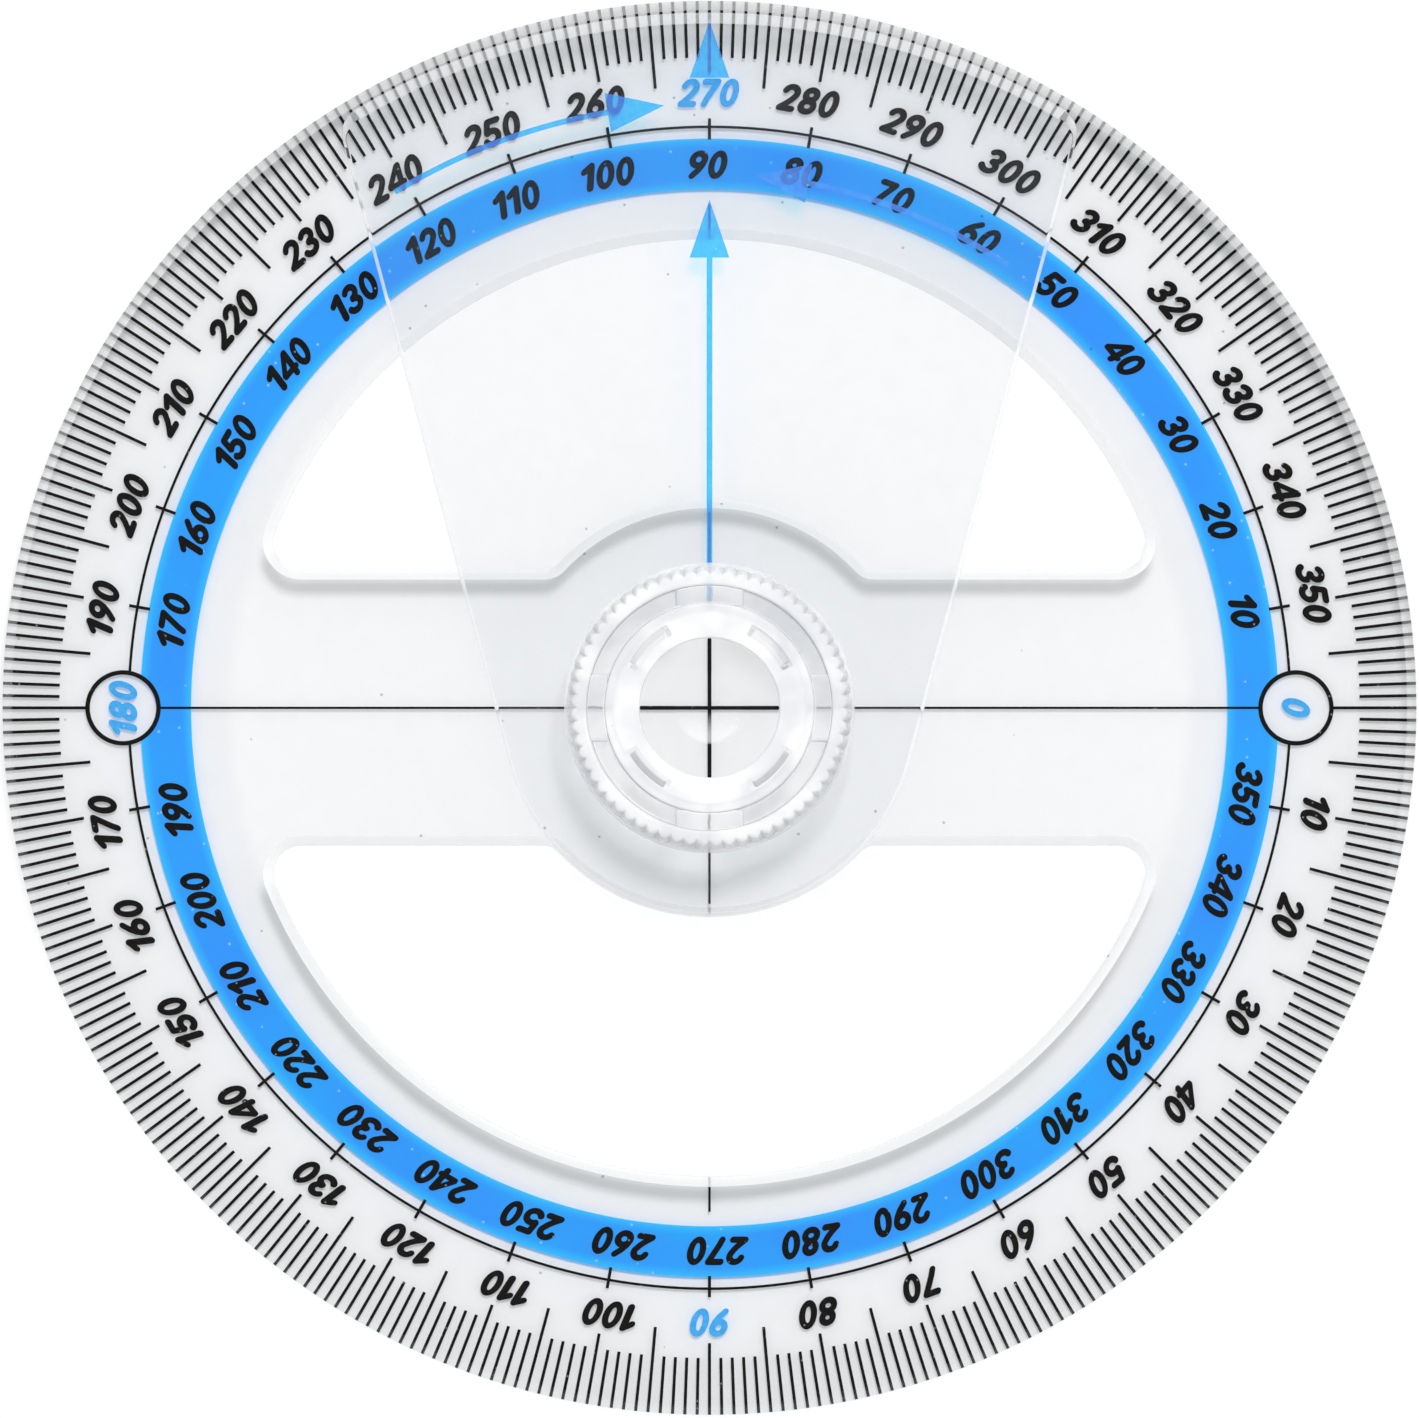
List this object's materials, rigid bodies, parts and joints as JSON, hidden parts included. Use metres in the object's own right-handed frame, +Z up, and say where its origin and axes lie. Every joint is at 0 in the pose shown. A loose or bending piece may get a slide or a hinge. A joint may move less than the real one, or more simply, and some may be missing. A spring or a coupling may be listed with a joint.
{
  "type": "protractor",
  "caption": "Clear full-circle protractor with a swing arm that turns with a knurled centre knob over the degree scale.",
  "frame": {"origin": "centre of the dial disc's underside, on the arm's hinge axis", "axes": "+Z up out of the printed face's side with the knob; +X along the zero direction of the scale; +Y where the arm points at rest"},
  "size_m": [0.1, 0.1, 0.008],
  "materials": {
    "dial_plastic": "clear colourless polystyrene, gloss",
    "arm_plastic": "clear colourless polystyrene, gloss, lightly scratched",
    "knob_plastic": "clear colourless polystyrene, gloss with a knurled grip",
    "scale_ink_black": "screen-printed black ink",
    "scale_ink_blue": "screen-printed blue ink",
    "arm_ink_blue": "screen-printed translucent light blue ink"
  },
  "bodies": {
    "dial": {"dial_disc": "dial_plastic"},
    "arm": {"swing_arm": "arm_plastic", "grip_knob": "knob_plastic"}
  },
  "joints": [
    {"name": "arm_turn", "type": "hinge", "parent": "dial", "child": "arm", "pos_m": [0, 0, 0.0023], "axis": [0, 0, 1], "continuous": true}
  ]
}
